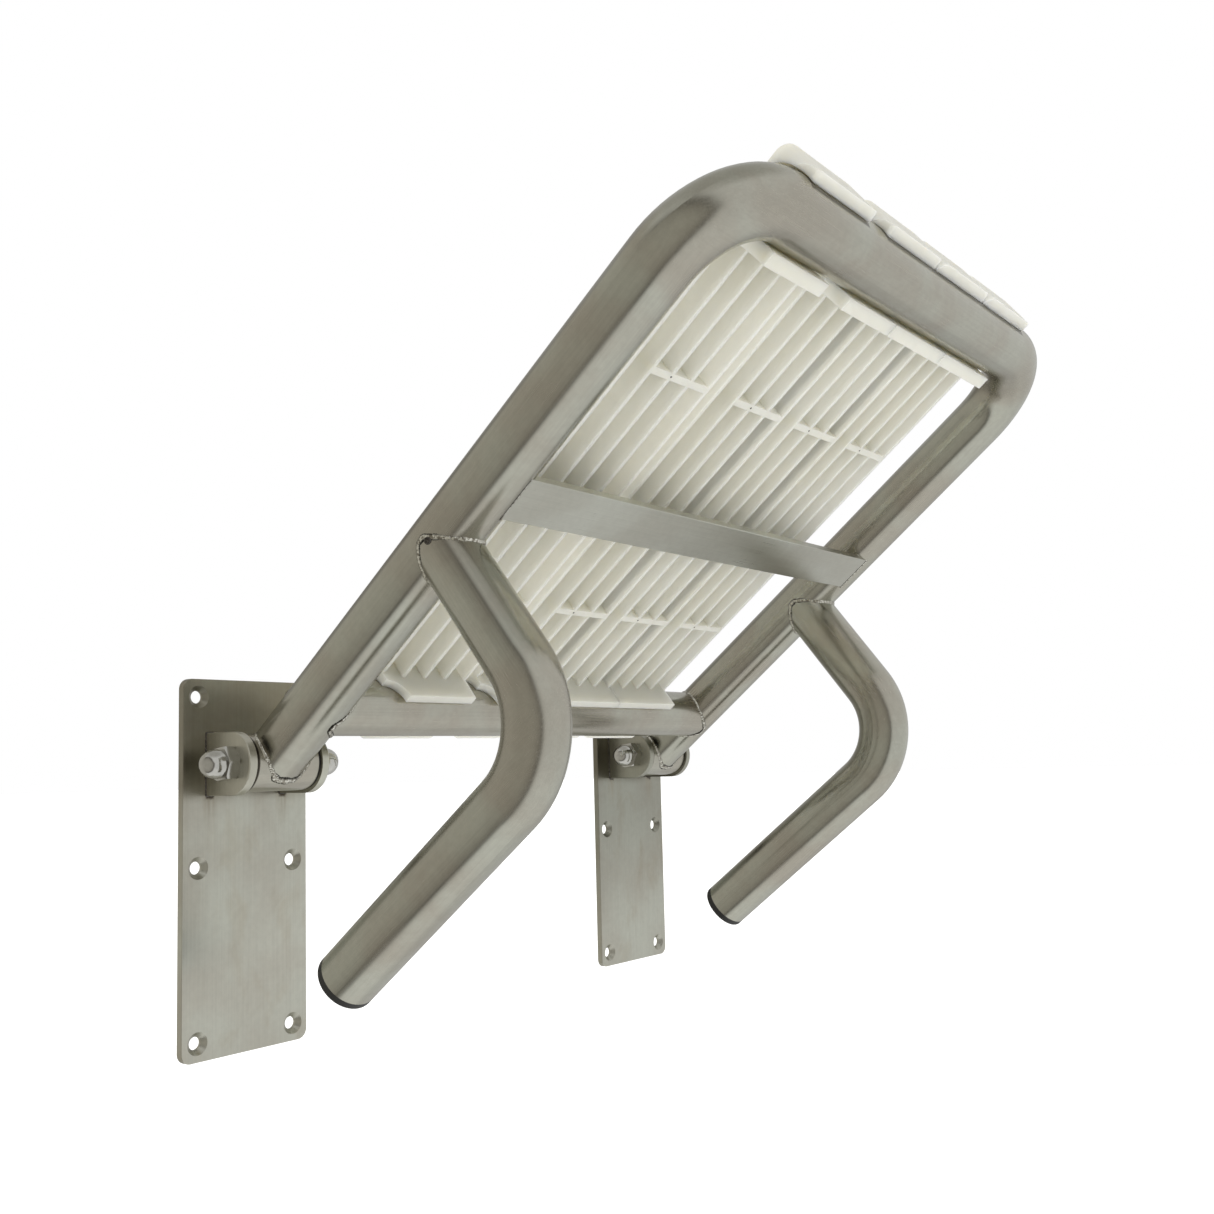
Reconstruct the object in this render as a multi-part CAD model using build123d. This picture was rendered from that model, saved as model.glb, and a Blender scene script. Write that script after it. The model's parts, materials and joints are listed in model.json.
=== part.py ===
"""Wall-mounted fold-up seat: two wall plates, a tube frame on two hinges, and four clip-on slats.

Frame: millimetres. X runs right along the wall, Z up, and the wall's surface is the plane Y = 0, with the
seat towards -Y. The origin is the centre of the whole wall-fixing hole pattern.

The moving seat is drawn in a seat frame of its own: its origin is on the hinge axis, its X is the row's X,
its -Y points out along the side rails and its +Z is the sitting side. seat_placed() turns that frame up by
TILT and sets it on the hinge axis.
"""
from build123d import *
import os
from math import sqrt

# ---------------------------------------------------------------- driving dimensions
SIDES = {"left": -1, "right": 1}
CLEAR = 0.05                # root gap left at coped and running faces

# wall plates
SIDE_X = 218.0              # centre of each plate, hinge and side rail from the middle of the seat
PLATE_W = 100.0
PLATE_H = 250.0
PLATE_T = 5.0
PLATE_CORNER = 7.0
PLATE_EASE = 0.4
HOLE_DX = 76.0              # between the two columns of one plate
HOLE_DZ = 113.0             # between neighbouring rows
HOLE_R = 4.25
SINK_R = 7.5

# hinges
HINGE_OUT = 27.0            # axis in front of the plate's front face
HINGE_Z = 68.0              # axis above the middle row of holes
EAR_T = 6.0
EAR_R = 21.0
EAR_GAP = 53.0              # between the inner faces of one hinge's two ears
EAR_EASE = 1.0              # rounded rim of an ear's outside face
ROD_R = 6.0
SLEEVE_R = 19.0
SLEEVE_BORE_R = 16.0
SLEEVE_L = 51.0
SLEEVE_EASE = 0.6
BUSH_L = 18.0
BUSH_FLANGE_R = 18.4
NUT_FLATS = 21.0
NUT_HEX_H = 8.5
NUT_DOME_R = 9.5
NUT_TURN = 8.0              # how far each nut has been wound past flats level
NUT_H = 22.0
ROD_IN_NUT = 14.0

# seat frame, in the seat frame's own axes
TILT = 38.0                 # how far the seat stands above horizontal
TUBE_R = 20.0
TUBE_WALL = 2.0
BEND_R = 57.0
COPE_TRIM = 3.0             # feather edges of equal-tube copes are ground off this far from the axis
FRONT_OUT = 477.0           # axis of the front cross length from the hinge axis
REAR_OUT = 59.5
RAIL_START = 6.0
BAR_OUT = 264.5
BAR_W = 32.0
BAR_T = 6.0
BAR_UNDER = -19.0
BAR_EASE = 0.5
LEG_OUT = 211.0
LEG_DROP = 154.5
LEG_END = -20.5             # negative: behind the hinge axis, towards the wall

# leg end plugs
PLUG_CAP = 6.0
PLUG_EDGE = 1.8
PLUG_STEM = 22.0
PLUG_FIT = 0.1

# slats
SLAT_W = 77.0
SLAT_PITCH = 78.0
SLAT_FIRST = -175.0         # left edge of slat 1, which stands apart from the other three
SLAT_SECOND = -84.0
SLAT_TOP = 26.0
SLAT_SKIN = 4.5
SLAT_FIT = 0.3              # around the two tubes it clips over
LIP_T = 6.6                 # outside the tubes
SKIRT_REAR_T = 6.2          # inside the rear tube
SKIRT_FRONT_T = 9.0         # inside the front tube
SKIRT_LOW = -13.0
LIP_LOW = -6.0              # the outer lips stop just past the tubes' middle
HEEL_R = 10.5               # an exposed left end has its outer lips scooped out in this curve
HEEL_X = -1.0
ARCH_R = 14.0               # and its inner skirts in this one
HEEL_EASE = 3.5
BEND_FIT = 0.6              # room around the loop where a slat reaches over a bend
NOSE_R = 14.0
EDGE_R = 3.0
END_R = 6.0
SIDE_LOW = 8.0
SIDE_T = 3.0
RIB_T = 2.6
CROSS_T = 5.0
RIB_LOW = 4.0
RIB_FIRST = 17.0
RIB_PITCH = 19.57
RIBS = 4
CROSS_RIBS = (163.0, 260.0, 360.0)

# worked out from the above
HINGE_Y = -(PLATE_T + HINGE_OUT)
BORE_R = TUBE_R - TUBE_WALL
EAR_OUTER = EAR_GAP / 2 + EAR_T
SLAT_LEFT = [SLAT_FIRST] + [SLAT_SECOND + SLAT_PITCH * i for i in range(3)]
LOOP_CORNERS = [(-SIDE_X, -RAIL_START, 0), (-SIDE_X, -FRONT_OUT, 0),
                (SIDE_X, -FRONT_OUT, 0), (SIDE_X, -RAIL_START, 0)]


# ---------------------------------------------------------------- helpers
def x_cylinder(radius, x0, x1, y=0.0, z=0.0):
    """A round bar along X from x0 to x1."""
    length = x1 - x0
    return Pos((x0 + x1) / 2, y, z) * Rot(0, 90, 0) * Cylinder(radius, length)


def y_cylinder(radius, y0, y1, x=0.0, z=0.0):
    """A round bar along Y from y0 to y1."""
    return Pos(x, (y0 + y1) / 2, z) * Rot(90, 0, 0) * Cylinder(radius, y1 - y0)


def span_box(x0, x1, y0, y1, z0, z1):
    """A box given by its two corners."""
    return Pos((x0 + x1) / 2, (y0 + y1) / 2, (z0 + z1) / 2) * Box(x1 - x0, y1 - y0, z1 - z0)


def bent_bar(points, radius):
    """A round bar swept along straight runs joined by bends."""
    path = FilletPolyline(*points, radius=BEND_R)
    start = Plane(origin=path @ 0, z_dir=path % 0)
    return sweep(start * Circle(radius), path=path)


def bent_tube(points):
    return bent_bar(points, TUBE_R) - bent_bar(points, BORE_R)


def rail_solid(side):
    """The full outer round of one side rail, used to cope what meets it."""
    return y_cylinder(TUBE_R + CLEAR, -FRONT_OUT, 0, x=side * SIDE_X)


def seat_placed(shape):
    """From the seat frame to the row's frame."""
    return Pos(0, HINGE_Y, HINGE_Z) * Rot(-TILT, 0, 0) * shape


def hinge_placed(shape, side):
    """From a hinge's own frame (axis along X through its origin) to the row's frame."""
    return Pos(side * SIDE_X, HINGE_Y, HINGE_Z) * shape


# ---------------------------------------------------------------- fixed pieces
def wall_plate(side):
    outline = RectangleRounded(PLATE_W, PLATE_H, PLATE_CORNER)
    plate = Rot(90, 0, 0) * extrude(outline, PLATE_T)
    plate = chamfer(plate.faces().sort_by(Axis.Y)[0].edges(), PLATE_EASE)
    sink_depth = SINK_R - HOLE_R
    hole = y_cylinder(HOLE_R, -PLATE_T - 1, 1)
    sink = Pos(0, -PLATE_T + sink_depth / 2, 0) * Rot(90, 0, 0) * Cone(HOLE_R, SINK_R, sink_depth)
    for dx in (-HOLE_DX / 2, HOLE_DX / 2):
        for dz in (-HOLE_DZ, 0, HOLE_DZ):
            plate -= Pos(dx, 0, dz) * (hole + sink)
    return Pos(side * SIDE_X, 0, 0) * plate


def hinge_ear(end):
    """One D-shaped ear of a hinge; end is -1 or 1 along X."""
    x0, x1 = sorted((end * EAR_GAP / 2, end * EAR_OUTER))
    root = span_box(x0, x1, 0, HINGE_OUT, -EAR_R, EAR_R)
    ear = root + x_cylinder(EAR_R, x0, x1)
    outside = ear.faces().sort_by(Axis.X)[-1 if end > 0 else 0]
    rim = outside.edges().sort_by(Axis.Y)[:-1]
    return fillet(rim, EAR_EASE) - x_cylinder(ROD_R + CLEAR, x0 - 1, x1 + 1)


def pivot_rod():
    half = EAR_OUTER + ROD_IN_NUT
    return x_cylinder(ROD_R, -half, half)


def acorn_nut(end):
    """A domed cap nut on the outside of an ear, blind-bored for the rod."""
    corner_r = NUT_FLATS / sqrt(3)
    hexagon = Rot(0, 0, 30 + NUT_TURN) * extrude(RegularPolygon(corner_r, 6), NUT_HEX_H)
    turned = chamfer(Cylinder(corner_r, NUT_HEX_H, align=(Align.CENTER, Align.CENTER, Align.MIN)).edges()
                     .filter_by(GeomType.CIRCLE), 1.0)
    dome_start = NUT_H - NUT_DOME_R
    neck = Cylinder(NUT_DOME_R, dome_start, align=(Align.CENTER, Align.CENTER, Align.MIN))
    dome = Pos(0, 0, dome_start) * Sphere(NUT_DOME_R)
    bore = Cylinder(ROD_R + CLEAR, ROD_IN_NUT + 1, align=(Align.CENTER, Align.CENTER, Align.MIN))
    nut = (hexagon & turned) + neck + dome - bore
    return Pos(end * EAR_OUTER, 0, 0) * Rot(0, end * 90, 0) * nut


# ---------------------------------------------------------------- moving pieces
def hinge_sleeve():
    half = SLEEVE_L / 2
    barrel = x_cylinder(SLEEVE_R, -half, half)
    barrel = chamfer(barrel.edges().filter_by(GeomType.CIRCLE), SLEEVE_EASE)
    return barrel - x_cylinder(SLEEVE_BORE_R, -half - 1, half + 1)


def hinge_bush(end):
    """A flanged nylon bush in one end of a sleeve, running on the rod."""
    mouth = end * SLEEVE_L / 2
    face = end * (EAR_GAP / 2 - CLEAR)
    tail = mouth - end * BUSH_L
    stem = x_cylinder(SLEEVE_BORE_R - CLEAR / 2, *sorted((tail, mouth)))
    flange = x_cylinder(BUSH_FLANGE_R, *sorted((mouth, face)))
    return stem + flange - x_cylinder(ROD_R + CLEAR, -EAR_GAP, EAR_GAP)


def seat_loop():
    """One tube bent twice into a U: both side rails and the front."""
    loop = bent_tube(LOOP_CORNERS)
    reach = SIDE_X + TUBE_R + 1
    return loop - x_cylinder(SLEEVE_R + CLEAR, -reach, reach)


def rear_cross_tube():
    reach = SIDE_X - COPE_TRIM
    tube = x_cylinder(TUBE_R, -reach, reach, y=-REAR_OUT) - x_cylinder(BORE_R, -reach, reach, y=-REAR_OUT)
    return tube - rail_solid(-1) - rail_solid(1)


def brace_bar():
    """The flat bar across the underside, tucked in between the two rails."""
    bar = span_box(-SIDE_X, SIDE_X, -BAR_OUT - BAR_W / 2, -BAR_OUT + BAR_W / 2, BAR_UNDER, BAR_UNDER + BAR_T)
    bar = chamfer(bar.edges().filter_by(Axis.X), BAR_EASE)
    return bar - rail_solid(-1) - rail_solid(1)


def leg(side):
    """A bent leg: straight down from the rail, then back to the wall, parallel to the rail."""
    x = side * SIDE_X
    tube = bent_tube([(x, -LEG_OUT, -COPE_TRIM), (x, -LEG_OUT, -LEG_DROP), (x, -LEG_END, -LEG_DROP)])
    return tube - rail_solid(side)


def leg_plug(side):
    """A plastic end plug: its cap meets the wall plate when the seat is down."""
    face = -LEG_END + PLUG_CAP
    cap = y_cylinder(TUBE_R, -LEG_END, face)
    rim = cap.edges().filter_by(GeomType.CIRCLE).sort_by(Axis.Y)[-1]
    cap = fillet(rim, PLUG_EDGE)
    stem = y_cylinder(BORE_R - PLUG_FIT, -LEG_END - PLUG_STEM, -LEG_END)
    return Pos(side * SIDE_X, 0, -LEG_DROP) * (cap + stem)


def slat(left):
    """One moulded slat: a skin with ribs beneath, and a saddle at each end that clips over a tube.

    The first two slats show their left ends, which are scooped out below; the others butt against a neighbour.
    """
    fit_r = TUBE_R + SLAT_FIT
    out0 = REAR_OUT - fit_r - LIP_T
    out1 = FRONT_OUT + fit_r + LIP_T
    skirt0 = REAR_OUT + fit_r + SKIRT_REAR_T
    skirt1 = FRONT_OUT - fit_r - SKIRT_FRONT_T
    under = SLAT_TOP - SLAT_SKIN
    below = SKIRT_LOW - 1

    body = span_box(0, SLAT_W, -out1, -out0, SKIRT_LOW, SLAT_TOP)
    top_edges = body.edges().group_by(Axis.Z)[-1]
    body = fillet(top_edges.filter_by(Axis.X), END_R)
    crown = body.edges().filter_by(Axis.Y).group_by(Axis.Z)[-1].sort_by(Axis.X)
    body = fillet(crown[-1], EDGE_R)
    crown = body.edges().filter_by(Axis.Y).group_by(Axis.Z)[-1].sort_by(Axis.X)
    body = fillet(crown[0], NOSE_R)

    body -= span_box(-1, SLAT_W + 1, -skirt1, -skirt0, below, RIB_LOW)
    body -= span_box(-1, SIDE_T, -skirt1, -skirt0, below, SIDE_LOW)
    ribs = [RIB_FIRST + RIB_PITCH * i for i in range(RIBS)]
    walls = [0.0] + ribs
    for first, second in zip(walls, ribs):
        x0 = SIDE_T if first == 0 else first + RIB_T / 2
        x1 = min(second, SLAT_W - RIB_T / 2) - RIB_T / 2
        stops = [skirt0] + list(CROSS_RIBS) + [skirt1] if first else [skirt0, skirt1]
        for near, far in zip(stops, stops[1:]):
            a = near if near == skirt0 else near + CROSS_T / 2
            b = far if far == skirt1 else far - CROSS_T / 2
            bay = span_box(x0, x1, -b, -a, below, under)
            if first == 0:      # the first bay is rounded above, so that the skin stays whole under the nose
                bay = fillet(bay.edges().filter_by(Axis.Y).group_by(Axis.Z)[-1].sort_by(Axis.X)[0], NOSE_R - SLAT_SKIN)
            body -= bay
    for out in (REAR_OUT, FRONT_OUT):
        body -= x_cylinder(fit_r, -1, SLAT_W + 1, y=-out)
    body -= span_box(-1, SLAT_W + 1, -FRONT_OUT, -FRONT_OUT + fit_r, below, 0)
    body -= span_box(-1, SLAT_W + 1, -REAR_OUT - fit_r, -REAR_OUT, below, 0)
    lips = ((-out1 - 1, -FRONT_OUT), (-REAR_OUT, -out0 + 1))
    for a, b in lips:
        body -= span_box(-1, SLAT_W + 1, a, b, below, LIP_LOW)
    if left in (SLAT_FIRST, SLAT_SECOND):
        body -= y_cylinder(ARCH_R, -FRONT_OUT, -REAR_OUT, z=SKIRT_LOW)
        for a, b in lips:
            body -= y_cylinder(HEEL_R, a, b, x=HEEL_X, z=LIP_LOW)
        brink = [e for e in body.edges().filter_by(Axis.Y)
                 if abs(e.center().X - HEEL_X - HEEL_R) < 0.1 and abs(e.center().Z - LIP_LOW) < 0.1]
        body = fillet(brink, HEEL_EASE)
    body = Pos(left, 0, 0) * body
    if left < BEND_R - SIDE_X:
        body -= bent_bar(LOOP_CORNERS, TUBE_R + BEND_FIT)
    return body


# ---------------------------------------------------------------- the assembly
def build():
    nodes = {}
    nuts = []
    for name, side in SIDES.items():
        nodes[f"wall_plate_{name}"] = wall_plate(side)
        nodes[f"pivot_rod_{name}"] = hinge_placed(pivot_rod(), side)
        nodes[f"hinge_sleeve_{name}"] = hinge_placed(hinge_sleeve(), side)
        for which, end in (("outer", side), ("inner", -side)):
            nodes[f"hinge_ear_{name}_{which}"] = hinge_placed(hinge_ear(end), side)
            nodes[f"hinge_bush_{name}_{which}"] = hinge_placed(hinge_bush(end), side)
            nuts.append(hinge_placed(acorn_nut(end), side))
        nodes[f"leg_{name}"] = seat_placed(leg(side))
        nodes[f"leg_plug_{name}"] = seat_placed(leg_plug(side))
    nodes["acorn_nuts"] = Compound(children=nuts)
    nodes["seat_loop"] = seat_placed(seat_loop())
    nodes["rear_cross_tube"] = seat_placed(rear_cross_tube())
    nodes["brace_bar"] = seat_placed(brace_bar())
    for number, left in enumerate(SLAT_LEFT, start=1):
        nodes[f"slat_{number}"] = seat_placed(slat(left))
    return nodes


os.makedirs("parts", exist_ok=True)
for node, shape in build().items():
    export_step(shape, f"parts/{node}.step")
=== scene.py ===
import json
import math

import bmesh
import bpy
from mathutils import Matrix, Vector, noise


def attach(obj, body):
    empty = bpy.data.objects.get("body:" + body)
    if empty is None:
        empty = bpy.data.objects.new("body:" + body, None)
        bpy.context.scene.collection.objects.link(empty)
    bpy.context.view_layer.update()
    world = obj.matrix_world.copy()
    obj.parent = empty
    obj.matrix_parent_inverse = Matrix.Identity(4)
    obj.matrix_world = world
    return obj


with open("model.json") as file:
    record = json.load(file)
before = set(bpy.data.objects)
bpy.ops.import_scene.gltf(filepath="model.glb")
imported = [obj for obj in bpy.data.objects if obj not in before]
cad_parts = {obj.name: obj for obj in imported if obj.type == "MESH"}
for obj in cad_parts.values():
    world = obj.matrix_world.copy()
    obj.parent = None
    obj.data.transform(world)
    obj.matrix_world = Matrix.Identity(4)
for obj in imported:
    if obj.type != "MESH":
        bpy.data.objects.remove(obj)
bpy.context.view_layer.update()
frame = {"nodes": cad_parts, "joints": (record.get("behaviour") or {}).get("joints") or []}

NODES = frame["nodes"]
HINGE = Vector(frame["joints"][0]["pos_m"])
TILT = math.radians(38)          # the seat's rest angle above horizontal
SIDES = {"left": -1, "right": 1}

# sizes shared with the CAD model
SIDE_X = 0.218                   # centre of each rail, plate and hinge
PLATE_T = 0.005
PLATE_FOOT = -0.125              # lower edge of the wall plates
EAR_IN, EAR_OUT = 0.0265, 0.0325   # an ear's two faces from its hinge's middle
EAR_R = 0.021
EAR_FOOT = 0.047                 # lower corners of the ears
TUBE_R = 0.020
SLEEVE_R = 0.019
COPE_TRIM = 0.003
RAIL_START = 0.006
REAR_OUT = 0.0595
FRONT_OUT = 0.477
LEG_OUT = 0.211
SLAT_LEFTS = (-0.175, -0.084, -0.006, 0.072)
SLAT_W = 0.077
CROSS_RIBS = (0.163, 0.260, 0.360)
MIDDLE_RIB = 0.0366              # from a slat's left edge
LIP_LOW = -0.006                 # lower edge of the slats' outer lips
SCOOP_R, SCOOP_X = 0.0105, -0.001   # scoops at the left ends of the first two slats, from the slat's left edge
BAR_OUT, BAR_HALF, BAR_LOW, BAR_HIGH = 0.2645, 0.016, -0.019, -0.013


def seat(x, out, up):
    """A point of the seat's own frame (sideways, out along the rails, up through the seat), in the part's frame."""
    c, s = math.cos(TILT), math.sin(TILT)
    return Vector((x, HINGE.y - out * c + up * s, HINGE.z + out * s + up * c))


def seat_dir(x, out, up):
    """A direction of the seat's own frame, in the part's frame."""
    return (seat(x, out, up) - seat(0, 0, 0)).normalized()


# ---------------------------------------------------------------- camera
YAW, PITCH, ROLL = math.radians(51.85), math.radians(5.19), math.radians(-1.41)
forward = Vector((math.sin(YAW) * math.cos(PITCH), math.cos(YAW) * math.cos(PITCH), math.sin(PITCH)))
level = Vector((math.cos(YAW), -math.sin(YAW), 0))
above = level.cross(forward)
right = math.cos(ROLL) * level + math.sin(ROLL) * above
up = -math.sin(ROLL) * level + math.cos(ROLL) * above
EYE = (-0.7403, -0.7300, 0.0648)
camera = bpy.data.objects.new("camera", bpy.data.cameras.new("camera"))
camera.matrix_world = Matrix.Translation(EYE) @ Matrix((right, up, -forward)).transposed().to_4x4()
camera.data.lens = 36.9
camera.data.sensor_width = 36
camera.data.clip_start = 0.02
camera.data.shift_x, camera.data.shift_y = 0.0021, 0.0325
bpy.context.scene.collection.objects.link(camera)
bpy.context.scene.camera = camera
bpy.context.scene.view_settings.view_transform = "Standard"


# ---------------------------------------------------------------- node helpers
class Shader:
    """A node tree with short calls for the nodes used here. A socket passed as a value is linked."""

    def __init__(self, tree):
        self.tree = tree
        tree.nodes.clear()

    def node(self, kind, sockets=None, **props):
        n = self.tree.nodes.new("ShaderNode" + kind)
        for key, value in props.items():
            setattr(n, key, value)
        for key, value in (sockets or {}).items():
            if isinstance(value, bpy.types.NodeSocket):
                self.tree.links.new(value, n.inputs[key])
            else:
                n.inputs[key].default_value = value
        return n

    def math(self, op, a, b=0.0, c=0.0):
        return self.node("Math", {0: a, 1: b, 2: c}, operation=op).outputs[0]

    def vmath(self, op, a, b=(0, 0, 0)):
        return self.node("VectorMath", {0: a, 1: b}, operation=op).outputs[0]

    def times(self, *values):
        """All the values multiplied together, from the left."""
        product = values[0]
        for value in values[1:]:
            product = self.math("MULTIPLY", product, value)
        return product

    def tint(self, colour, by):
        return self.mix(1.0, colour, by, "MULTIPLY")

    def split(self, vector):
        return self.node("SeparateXYZ", {0: vector}).outputs

    def noise(self, vector, scale=1.0, detail=3.0, rough=0.5, distortion=0.0):
        return self.node("TexNoise", {"Vector": vector, "Scale": scale, "Detail": detail, "Roughness": rough,
                                      "Distortion": distortion}).outputs[0]

    def span(self, value, a, b, to_a=0.0, to_b=1.0, smooth=True):
        """value from a..b mapped to to_a..to_b and held outside."""
        return self.node("MapRange", {0: value, 1: a, 2: b, 3: to_a, 4: to_b},
                         interpolation_type="SMOOTHSTEP" if smooth else "LINEAR").outputs[0]

    def mix(self, factor, a, b, blend="MIX"):
        a, b = ((*c, 1) if isinstance(c, tuple) else c for c in (a, b))
        n = self.node("Mix", {0: factor, 6: a, 7: b}, data_type="RGBA", blend_type=blend)
        return n.outputs[2]

    def ramp(self, factor, stops):
        """Eased colour stops; a stop's colour may be a plain number."""
        n = self.node("ValToRGB", {0: factor})
        n.color_ramp.interpolation = "EASE"
        n.color_ramp.elements[0].position, n.color_ramp.elements[1].position = stops[0][0], stops[-1][0]
        for at, colour in stops[1:-1]:
            n.color_ramp.elements.new(at)
        for element, (at, colour) in zip(n.color_ramp.elements, stops):
            element.color = (*colour, 1) if isinstance(colour, tuple) else (colour, colour, colour, 1)
        return n.outputs[0]

    def bump(self, height, strength, distance, normal=None):
        sockets = {"Height": height, "Strength": strength, "Distance": distance}
        if normal:
            sockets["Normal"] = normal
        return self.node("Bump", sockets).outputs[0]

    def place(self):
        """The point in the part's own frame."""
        return self.node("TexCoord").outputs["Object"]

    def seat(self):
        """The seat's own frame as (sideways, minus out, up)."""
        return self.node("Mapping", {"Vector": self.place(), "Location": HINGE, "Rotation": (-TILT, 0, 0)},
                         vector_type="TEXTURE").outputs[0]

    def finish(self, **sockets):
        bsdf = self.node("BsdfPrincipled", sockets)
        out = self.node("OutputMaterial")
        self.tree.links.new(bsdf.outputs[0], out.inputs["Surface"])


def new_material(name):
    m = bpy.data.materials.new(name)
    m.use_nodes = True
    return m, Shader(m.node_tree)


def grain(s, coords, along):
    """Fine streaks that run along one axis (0, 1 or 2) of the coordinates."""
    stretch = [900.0, 900.0, 900.0]
    stretch[along] = 14.0
    return s.noise(s.vmath("MULTIPLY", coords, tuple(stretch)), detail=4, rough=0.6)


def metal(s, coords, streaks, dark, light, rough, anisotropic=0.0, tangent=None, shade=None, relief=0.03, wave=0.10):
    """Satin stainless: soft clouds between two tones, streaks in the tone, roughness and relief.

    shade multiplies the tone, relief is the streaks' bump and wave that of the slow unevenness beneath them.
    """
    cloud = s.noise(coords, scale=16, detail=4, rough=0.5, distortion=0.3)
    fine = s.noise(coords, scale=210, detail=4, rough=0.55)
    tone = s.mix(s.span(cloud, 0.36, 0.66), dark, light)
    tone = s.tint(tone, s.ramp(streaks, [(0.25, 0.95), (0.75, 1.03)]))
    tone = s.tint(tone, s.ramp(fine, [(0.30, 0.97), (0.70, 1.02)]))
    if shade:
        tone = s.tint(tone, shade)
    r = s.math("ADD", s.span(cloud, 0.3, 0.7, rough + 0.03, rough - 0.03), s.span(streaks, 0.2, 0.8, -0.03, 0.04))
    normal = s.bump(streaks, relief, 0.00006)
    normal = s.bump(s.noise(coords, scale=30, detail=1), wave, 0.00025, normal)
    sockets = {"Base Color": tone, "Metallic": 1.0, "Roughness": r, "Normal": normal, "Anisotropic": anisotropic}
    if tangent:
        sockets["Tangent"] = tangent
    s.finish(**sockets)


# ---------------------------------------------------------------- materials
DARK_STEEL, LIGHT_STEEL = (0.415, 0.392, 0.335), (0.455, 0.458, 0.398)


def plate_material():
    m, s = new_material("brushed_plate")
    coords = s.place()
    x, y, z = s.split(coords)
    streaks = grain(s, coords, 2)
    unevenness = s.math("MULTIPLY", s.math("SUBTRACT", s.noise(coords, scale=30, detail=3), 0.5), 0.012)
    edge = s.math("ADD", z, unevenness)
    # only the wall plate itself is marked, not the ears that stand off it
    flat = s.span(y, -PLATE_T - 0.0012, -PLATE_T - 0.0004)
    # painted shade: from the foot of the hinge upwards the wall plate is painted darker, a painted reflection of the
    # seat in front of it; below that it is smudged
    seat_reflection_shade = s.times(s.span(edge, 0.041, 0.054), flat)
    tall = s.vmath("MULTIPLY", coords, (1.0, 1.0, 0.45))
    smudge = s.noise(tall, scale=42, detail=4, rough=0.55, distortion=0.6)
    shade = s.mix(s.span(smudge, 0.50, 0.72, 0.0, 0.5), (1.0, 1.0, 1.0), (0.86, 0.80, 0.74))
    shade = s.mix(seat_reflection_shade, shade, (0.64, 0.61, 0.565))
    # painted highlight: the ears, which stand off the wall plate, are painted lighter than it
    shade = s.mix(s.math("SUBTRACT", 1.0, flat), shade, (1.12, 1.12, 1.10))
    # painted light: the plate's tone is raised all over, most a little below its middle and least at its top
    height = s.span(z, PLATE_FOOT, 0.03, smooth=False)
    shade = s.tint(shade, s.ramp(height, [(0.0, 1.15), (0.45, 1.20), (1.0, 1.10)]))
    # painted shade: the far plate is painted a little greyer towards its top
    far_plate_shade = s.times(s.span(x, 0.10, 0.12), s.span(z, PLATE_FOOT, 0.03, 0.12, 1.0))
    shade = s.mix(far_plate_shade, shade, s.tint(shade, (0.70, 0.70, 0.69)))
    # heat stains run down from the lower corners of the ears: a faint streaked one, and a short burnt one over it
    from_hinge = s.math("ABSOLUTE", s.math("SUBTRACT", s.math("ABSOLUTE", x), SIDE_X))
    aside = s.math("ABSOLUTE", s.math("SUBTRACT", from_hinge, (EAR_IN + EAR_OUT) / 2))
    below = s.times(s.span(z, 0.018, EAR_FOOT), s.span(z, EAR_FOOT + 0.003, EAR_FOOT + 0.0005))
    streak = s.noise(s.vmath("MULTIPLY", coords, (420.0, 420.0, 30.0)), detail=3)
    stain = s.times(s.span(aside, 0.0075, 0.001), s.times(below, flat))
    shade = s.mix(s.times(stain, s.span(streak, 0.35, 0.62, 0.25, 0.65)), shade, (0.70, 0.62, 0.54))
    ragged = s.math("MULTIPLY_ADD", s.noise(coords, scale=260, detail=3), 0.005, z)
    burnt = s.times(s.span(aside, 0.0042, 0.0018), s.times(s.span(ragged, 0.0465, 0.0490), flat))
    burnt = s.times(burnt, s.span(z, EAR_FOOT + 0.003, EAR_FOOT + 0.0005))
    shade = s.mix(burnt, shade, (0.16, 0.13, 0.11))
    tangent = s.node("Tangent", direction_type="RADIAL", axis="Z").outputs[0]
    metal(s, coords, streaks, (0.435, 0.425, 0.37), (0.465, 0.472, 0.415), 0.33, 0.5, tangent, shade, relief=0.10)
    return m


def lip_shadow(s, axes):
    """Painted shadow: darkens the front tube in a thin line that follows the lower edge of the slats' lips, where they
    shade it.
    """
    x, back, up_ = axes
    scoops = (s.math("ABSOLUTE", s.math("SUBTRACT", x, left + SCOOP_X)) for left in SLAT_LEFTS[:2])
    off = s.math("MINIMUM", *scoops)
    drop = s.math("SUBTRACT", SCOOP_R ** 2, s.times(off, off))
    scoop = s.math("SQRT", s.math("MAXIMUM", drop, 0.0))
    shadow_line = s.span(s.math("SUBTRACT", up_, scoop), LIP_LOW - 0.0034, LIP_LOW - 0.0022)

    def between(low, high):
        return s.times(s.math("GREATER_THAN", x, low), s.math("LESS_THAN", x, high))

    under_slats = s.math("ADD", between(SLAT_LEFTS[0], SLAT_LEFTS[0] + SLAT_W),
                         between(SLAT_LEFTS[1], SLAT_LEFTS[3] + SLAT_W))
    shadow_line = s.times(shadow_line, s.math("LESS_THAN", back, -FRONT_OUT), under_slats)
    return s.mix(shadow_line, (1.0, 1.0, 1.0), (0.30, 0.28, 0.26))


def tube_material(name, along, turn_off=None, painted_shade=None):
    """Satin tube. along is the axis its streaks follow; turn_off is (axis, from, to, new axis) where they change."""
    m, s = new_material(name)
    coords = s.seat()
    axes = s.split(coords)
    streaks = grain(s, coords, along)
    if turn_off:
        axis, a, b, then = turn_off
        streaks = s.mix(s.span(axes[axis], a, b), streaks, grain(s, coords, then))
    # painted shade, such as the shadow under the slats' lips, where one is given
    shade = painted_shade(s, axes) if painted_shade else None
    metal(s, coords, streaks, DARK_STEEL, LIGHT_STEEL, 0.23, shade=shade, wave=0.16)
    return m


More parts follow.
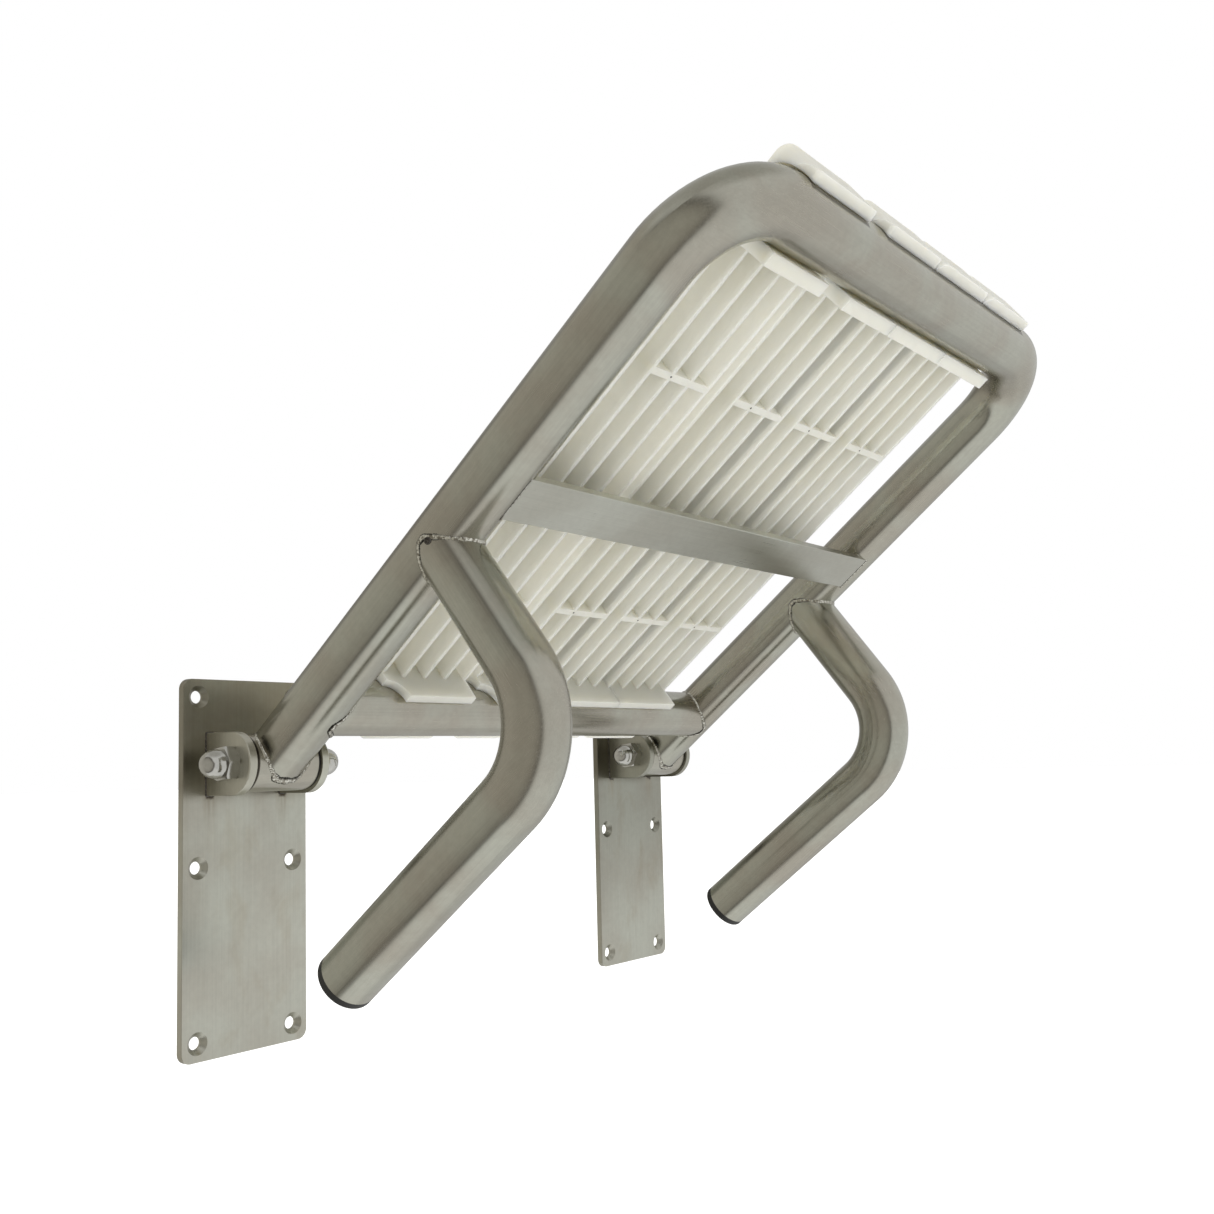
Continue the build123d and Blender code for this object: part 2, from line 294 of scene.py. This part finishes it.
def sleeve_material():
    m, s = new_material("satin_sleeve")
    coords = s.place()
    x = s.split(coords)[0]
    from_middle = s.math("SUBTRACT", x, s.math("MULTIPLY", s.math("SIGN", x), SIDE_X))
    # painted shadow: a dark line on the sleeve where it meets its left bush
    shadow_line = s.span(s.math("MULTIPLY_ADD", s.noise(coords, scale=90), 0.0008, from_middle), -0.0222, -0.0232)
    metal(s, coords, grain(s, coords, 0), DARK_STEEL, LIGHT_STEEL, 0.21,
          shade=s.mix(shadow_line, (1.0, 1.0, 1.0), (0.12, 0.11, 0.10)))
    return m


def bar_material():
    m, s = new_material("brushed_bar")
    coords = s.seat()
    metal(s, coords, grain(s, coords, 0), (0.475, 0.47, 0.415), (0.52, 0.525, 0.47), 0.32)
    return m


def nut_material():
    m, s = new_material("polished_nut")
    coords = s.place()
    streaks = s.noise(coords, scale=400, detail=3)
    metal(s, coords, streaks, (0.50, 0.495, 0.465), (0.58, 0.575, 0.545), 0.11, relief=0.02)
    return m


def weld_material(name, dark, light):
    """Scaly bead metal; the piece's own stored value darkens it towards its toes, where it meets the parts it joins:
    heat tint there, and painted shade in the crease.
    """
    m, s = new_material(name)
    coords = s.seat()
    scale = s.noise(coords, scale=620, detail=3, rough=0.6)
    toe_tint_and_shade = s.node("Attribute", attribute_name="toe_tint_and_shade").outputs["Fac"]
    tone = s.mix(s.span(scale, 0.40, 0.58), dark, light)
    tone = s.tint(tone, s.ramp(toe_tint_and_shade, [(0.36, 1.0), (0.60, 0.50), (0.78, 0.10)]))
    s.finish(**{"Base Color": tone, "Metallic": 1.0, "Roughness": s.span(scale, 0.3, 0.7, 0.34, 0.18),
                "Normal": s.bump(scale, 0.6, 0.0003)})
    return m


def slat_material():
    m, s = new_material("moulded_slat")
    coords = s.seat()
    blotch = s.noise(coords, scale=9, detail=5)
    skin = s.noise(coords, scale=1500, detail=2)
    tone = s.mix(s.span(blotch, 0.35, 0.65), (0.715, 0.70, 0.615), (0.745, 0.735, 0.66))
    s.finish(**{"Base Color": tone, "Roughness": s.span(blotch, 0.3, 0.7, 0.42, 0.52), "IOR": 1.49,
                "Subsurface Weight": 1.0, "Subsurface Radius": (1.0, 0.95, 0.85), "Subsurface Scale": 0.016,
                "Normal": s.bump(skin, 0.12, 0.00004)})
    return m


def black_material(name, tone, rough):
    m, s = new_material(name)
    coords = s.seat()
    blotch = s.noise(coords, scale=60, detail=5)
    s.finish(**{"Base Color": s.mix(blotch, tuple(0.7 * t for t in tone), tuple(1.3 * t for t in tone)),
                "Roughness": s.span(blotch, 0.3, 0.7, rough - 0.06, rough + 0.08),
                "Normal": s.bump(s.noise(coords, scale=900, detail=3), 0.15, 0.00006)})
    return m


plate, bar, nut, slat = plate_material(), bar_material(), nut_material(), slat_material()
weld = weld_material("weld_bead", (0.24, 0.22, 0.18), (0.72, 0.71, 0.64))
# near-black bead metal: heat tint; on the ears' beads it also stands for a painted shadow line at their feet
dark_weld = weld_material("weld_dark", (0.05, 0.045, 0.04), (0.12, 0.11, 0.10))
loop = tube_material("satin_loop", 0, (1, -0.455, -0.425, 1), lip_shadow)
legs = tube_material("satin_leg", 1, (2, -0.135, -0.105, 2))
cross = tube_material("satin_cross", 0)
sleeve = sleeve_material()
black = black_material("plug_black", (0.010, 0.010, 0.009), 0.5)
nylon = black_material("bush_black", (0.03, 0.03, 0.03), 0.5)

FINISHES = {
    "wall_plate": plate, "hinge_ear": plate, "brace_bar": bar, "pivot_rod": nut, "acorn_nuts": nut,
    "hinge_sleeve": sleeve, "hinge_bush": nylon, "leg_plug": black, "leg": legs, "seat_loop": loop,
    "rear_cross_tube": cross, "slat": slat,
}
for name, node in NODES.items():
    key = max((k for k in FINISHES if name.startswith(k)), key=len)
    node.material_slots[0].material = FINISHES[key]


# ---------------------------------------------------------------- weld beads
BEAD_STEP, BEAD_RING = 0.00045, 12
RING = [2 * math.pi * k / BEAD_RING for k in range(BEAD_RING)]


def new_object(name, mesh, material=None, smooth=True):
    """Turns a bmesh into an object in the scene."""
    data = bpy.data.meshes.new(name)
    mesh.to_mesh(data)
    mesh.free()
    for face in data.polygons:
        face.use_smooth = smooth
    if material:
        data.materials.append(material)
    made = bpy.data.objects.new(name, data)
    bpy.context.scene.collection.objects.link(made)
    return made


def resampled(points, closed):
    """The path's points and normals at even steps."""
    ring = points + [points[0]] if closed else points
    total = sum((b[0] - a[0]).length for a, b in zip(ring, ring[1:]))
    count = max(8, round(total / BEAD_STEP))
    step, out, at, gone = total / count, [], 0, 0.0
    for k in range(count if closed else count + 1):
        target = k * step
        while at < len(ring) - 2 and gone + (ring[at + 1][0] - ring[at][0]).length < target:
            gone += (ring[at + 1][0] - ring[at][0]).length
            at += 1
        a, b = ring[at], ring[at + 1]
        f = min(1.0, max(0.0, (target - gone) / max(1e-9, (b[0] - a[0]).length)))
        out.append((a[0].lerp(b[0], f), a[1].lerp(b[1], f).normalized()))
    return out, step


def bead(name, body, points, half_width, height, closed=True, seed=0.0, lumps=0.25, ripple=0.0016,
         swell=None, material=weld):
    """A weld bead along a path of (point, outward normal): a flattened rope with ripples and uneven lumps.

    swell is (where, how far, how much) along the path, for a stretch that was laid heavier than the rest.
    """
    rings, step = resampled(points, closed)
    n = len(rings)
    mesh = bmesh.new()
    loops = []
    for i, (p, normal) in enumerate(rings):
        before = rings[(i - 1) % n if closed else max(i - 1, 0)][0]
        after = rings[(i + 1) % n if closed else min(i + 1, n - 1)][0]
        along = (after - before).normalized()
        across = along.cross(normal).normalized()
        out = across.cross(along)
        s = i * step
        phase = s / ripple + 0.5 * noise.noise(Vector((s * 300, seed, 0)))
        wave = (phase % 1.0) ** 0.6 - 0.5
        lump = noise.noise(Vector((p.x * 260 + seed, p.y * 260, p.z * 260)))
        drift = noise.noise(Vector((seed, p.x * 110, p.z * 110 + p.y * 90)))
        size = 1.0 if closed else min(1.0, 0.35 + 0.65 * min(i, n - 1 - i) * step / 0.002)
        rough = lumps
        if swell:
            off = abs((i / n - swell[0] + 0.5) % 1.0 - 0.5)
            heavy = math.exp(-(off / swell[1]) ** 2)
            size *= 1 + (swell[2] - 1) * heavy
            rough *= 1 + 1.2 * heavy
        wide = half_width * (1 + rough * lump + 0.10 * wave) * size
        high = height * (1 + 1.5 * rough * lump + 0.50 * wave) * size
        sunk = 0.7 * half_width
        centre = p + across * (half_width * 0.35 * drift)
        ring = []
        for t in RING:
            lift = (high if math.sin(t) > 0 else sunk) * math.sin(t)
            ring.append(mesh.verts.new(centre + across * (wide * math.cos(t)) + out * lift))
        loops.append(ring)
    for i in range(n if closed else n - 1):
        a, b = loops[i], loops[(i + 1) % n]
        for k in range(BEAD_RING):
            mesh.faces.new((a[k], a[(k + 1) % BEAD_RING], b[(k + 1) % BEAD_RING], b[k]))
    if not closed:
        mesh.faces.new(loops[0][::-1])
        mesh.faces.new(loops[-1])
    bmesh.ops.recalc_face_normals(mesh, faces=mesh.faces)
    piece = new_object(name, mesh, material)
    # heat tint and painted shade at the bead's toes: 1 at its sides, 0 over its top and underside
    toe_tint_and_shade = piece.data.attributes.new("toe_tint_and_shade", "FLOAT", "POINT")
    toe_tint_and_shade.data.foreach_set("value", [abs(math.cos(t)) for t in RING] * n)
    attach(piece, body)


def around(count=96):
    """The angles of one full turn."""
    return [2 * math.pi * k / count for k in range(count)]


def rail_path(x0):
    """Round a rail's end, on the hinge sleeve."""
    path = []
    for t in around():
        up_ = TUBE_R * math.sin(t)
        out = max(RAIL_START, math.sqrt(max(0.0, SLEEVE_R ** 2 - up_ ** 2)))
        facing = seat_dir(math.cos(t), 0, math.sin(t)) + seat_dir(0, out, up_)
        path.append((seat(x0 + TUBE_R * math.cos(t), out, up_), facing.normalized()))
    return path


def leg_path(x0):
    """Round a leg's top, under the rail."""
    path = []
    for t in around():
        drop = max(COPE_TRIM, TUBE_R * abs(math.sin(t)))
        facing = seat_dir(math.cos(t), math.sin(t), 0) + seat_dir(math.cos(t), 0, -abs(math.sin(t)))
        path.append((seat(x0 + TUBE_R * math.cos(t), LEG_OUT + TUBE_R * math.sin(t), -drop), facing.normalized()))
    return path


def cross_path(x0, side):
    """Round an end of the rear cross tube, against the rail."""
    path = []
    for t in around():
        reach = max(COPE_TRIM, TUBE_R * abs(math.cos(t)))
        facing = seat_dir(0, math.cos(t), math.sin(t)) + seat_dir(-side * abs(math.cos(t)), 0, math.sin(t))
        path.append((seat(x0 - side * reach, REAR_OUT + TUBE_R * math.cos(t), TUBE_R * math.sin(t)),
                     facing.normalized()))
    return path


def bar_path(x0, side):
    """Brace bar against the rail: up one edge, along the underside and up the other edge."""
    path = []
    for out, up_ in ((-BAR_HALF, BAR_HIGH), (-BAR_HALF, BAR_LOW), (BAR_HALF, BAR_LOW), (BAR_HALF, BAR_HIGH)):
        reach = math.sqrt(TUBE_R ** 2 - up_ ** 2)
        facing = seat_dir(0, out, -BAR_HALF) + seat_dir(-side * reach, 0, up_)
        path.append((seat(x0 - side * reach, BAR_OUT + out, up_), facing.normalized()))
    return path


def ear_path(x0, end):
    """Round the foot of a hinge ear, on the wall plate."""
    xa, xb = x0 + end * EAR_IN, x0 + end * EAR_OUT
    outline = [(xa, EAR_R, -end, 1), (xb, EAR_R, end, 1), (xb, -EAR_R, end, -1), (xa, -EAR_R, -end, -1)]
    return [(Vector((x, -PLATE_T, HINGE.z + z)), Vector((nx, -1.4, nz)).normalized()) for x, z, nx, nz in outline]


for word, side in SIDES.items():
    x0 = side * SIDE_X
    bead(f"weld_rail_{word}", "seat", rail_path(x0), 0.0019, 0.0008, seed=3 * side, lumps=0.35,
         swell=(0.72, 0.06, 1.6))
    bead(f"weld_leg_{word}", "seat", leg_path(x0), 0.0021, 0.0009, seed=7 + side, lumps=0.32,
         swell=(0.20, 0.07, 1.25))
    bead(f"weld_cross_{word}", "seat", cross_path(x0, side), 0.0019, 0.0009, seed=11 + side, lumps=0.3)
    bead(f"weld_bar_{word}", "seat", bar_path(x0, side), 0.0010, 0.0004, closed=False,
         seed=17 + side, lumps=0.3)
    # the ear beads are near black: heat tint, and a painted shadow line along the ears' feet
    for place, end in (("outer", side), ("inner", -side)):
        bead(f"weld_ear_{word}_{place}", "wall_mount", ear_path(x0, end), 0.0011, 0.0005,
             seed=23 + side + end, lumps=0.2, material=dark_weld)


# ---------------------------------------------------------------- small marks
def marks(name, material, places, radius, depth):
    """Small flattened domes on the seat, each set at a point and facing along a direction."""
    mesh = bmesh.new()
    size = Matrix.Diagonal((radius, radius, depth, 1))
    for at, facing in places:
        matrix = Matrix.Translation(at) @ facing.to_track_quat("Z", "Y").to_matrix().to_4x4() @ size
        bmesh.ops.create_uvsphere(mesh, u_segments=20, v_segments=10, radius=1, matrix=matrix)
    piece = new_object(name, mesh, material)
    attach(piece, "seat")


# pips where each slat's middle rib crosses a cross rib
PIP_UP = 0.004
pips = [(seat(left + MIDDLE_RIB, out, PIP_UP), seat_dir(0, 0, -1)) for left in SLAT_LEFTS for out in CROSS_RIBS]
marks("slat_pips", black, pips, 0.0007, 0.0003)
# a crater where the left leg's bead was started
crater = seat(-SIDE_X - 0.0200, LEG_OUT + 0.004, -0.0072)
marks("weld_crater", dark_weld, [(crater, seat_dir(-1, 0.15, -0.3))], 0.0024, 0.0012)

# ---------------------------------------------------------------- floor and light
FLOOR_Z = -0.40
mesh = bmesh.new()
bmesh.ops.create_circle(mesh, cap_ends=True, radius=30, segments=96, matrix=Matrix.Translation((0, 0, FLOOR_Z)))
m, s = new_material("pale_floor")
s.finish(**{"Base Color": s.mix(s.noise(s.place(), scale=3, detail=2), (0.90, 0.90, 0.89), (0.92, 0.92, 0.91)),
            "Roughness": 0.9, "Specular IOR Level": 0.0, "Emission Color": (1, 1, 1, 1),
            "Emission Strength": s.span(s.node("LightPath").outputs["Is Camera Ray"], 0, 1, 0.12, 0.40)})
floor = new_object("floor", mesh, m, smooth=False)
floor.visible_glossy = False

# a very soft key from above, for the slats' tops
sky = bpy.data.objects.new("soft_key", bpy.data.lights.new("soft_key", "SUN"))
sky.data.energy, sky.data.angle = 2.1, math.radians(110)
sky.rotation_euler = Vector((0.25, -0.20, -1.0)).to_track_quat("-Z", "Y").to_euler()
sky.visible_glossy = False
bpy.context.scene.collection.objects.link(sky)
# a broad low panel that shines straight up into the ribbed underside
panel = bpy.data.objects.new("low_panel", bpy.data.lights.new("low_panel", "AREA"))
panel.data.shape, panel.data.size, panel.data.size_y = "RECTANGLE", 1.3, 1.1
panel.data.energy, panel.data.spread = 0.7, math.radians(60)
panel.location = (0.0, -0.55, -0.36)
panel.rotation_euler = Vector((0.0, 0.60, 0.80)).to_track_quat("-Z", "Y").to_euler()
panel.visible_glossy = panel.visible_camera = False
bpy.context.scene.collection.objects.link(panel)

world = bpy.data.worlds.new("studio")
world.use_nodes = True
bpy.context.scene.world = world
s = Shader(world.node_tree)
x, y, z = s.split(s.node("TexCoord").outputs["Generated"])
DIM, LINE, OPEN = (0.49, 0.472, 0.422), (0.14, 0.13, 0.115), (0.83, 0.83, 0.82)
# to the left a dim wall behind a thin dark edge
side = s.math("SUBTRACT", s.math("MULTIPLY", x, -1.0), s.span(z, 0.0, 0.5, 0.0, 0.14))
side = s.math("MAXIMUM", side, s.math("MULTIPLY", y, 0.75))
left = s.ramp(side, [(0.38, OPEN), (0.46, (0.48, 0.47, 0.45)), (0.49, LINE), (0.545, LINE), (0.60, (0.34, 0.32, 0.285)),
                     (0.70, (0.43, 0.412, 0.368)), (0.88, DIM), (1.0, (0.49, 0.472, 0.42))])
left = s.mix(s.span(y, 0.25, 0.70), left, (0.55, 0.53, 0.475))
# to the right the open room, closing down towards the wall
turned = s.span(y, -1, 1, smooth=False)
right = s.ramp(turned, [(0.30, OPEN), (0.46, (0.77, 0.77, 0.76)), (0.56, (0.60, 0.60, 0.59)),
                        (0.76, (0.58, 0.575, 0.56)), (0.88, (0.42, 0.41, 0.39)), (0.94, (0.26, 0.25, 0.225)),
                        (1.0, (0.36, 0.345, 0.31))])
room = s.mix(s.span(x, -0.10, 0.12), left, right)
# a faint glow from the low front, then a bright floor and a grey ceiling
glow = s.times(s.span(side, 0.44, 0.36), s.span(z, -0.35, -0.75, 0.0, 0.16))
room = s.mix(glow, room, (1.4, 1.4, 1.37))
room = s.mix(s.span(z, -0.86, -0.97), room, (0.95, 0.95, 0.93))
room = s.mix(s.span(z, 0.70, 0.96), room, (0.50, 0.49, 0.46))
# softer for diffuse surfaces, and plain white behind the object
paths = s.node("LightPath").outputs
room = s.mix(paths["Is Diffuse Ray"], room, s.tint(room, (0.76, 0.765, 0.77)))
room = s.mix(paths["Is Camera Ray"], room, (1.0, 1.0, 1.0))
back = s.node("Background", {"Color": room, "Strength": 1.0})
out = s.node("OutputWorld")
s.tree.links.new(back.outputs[0], out.inputs["Surface"])
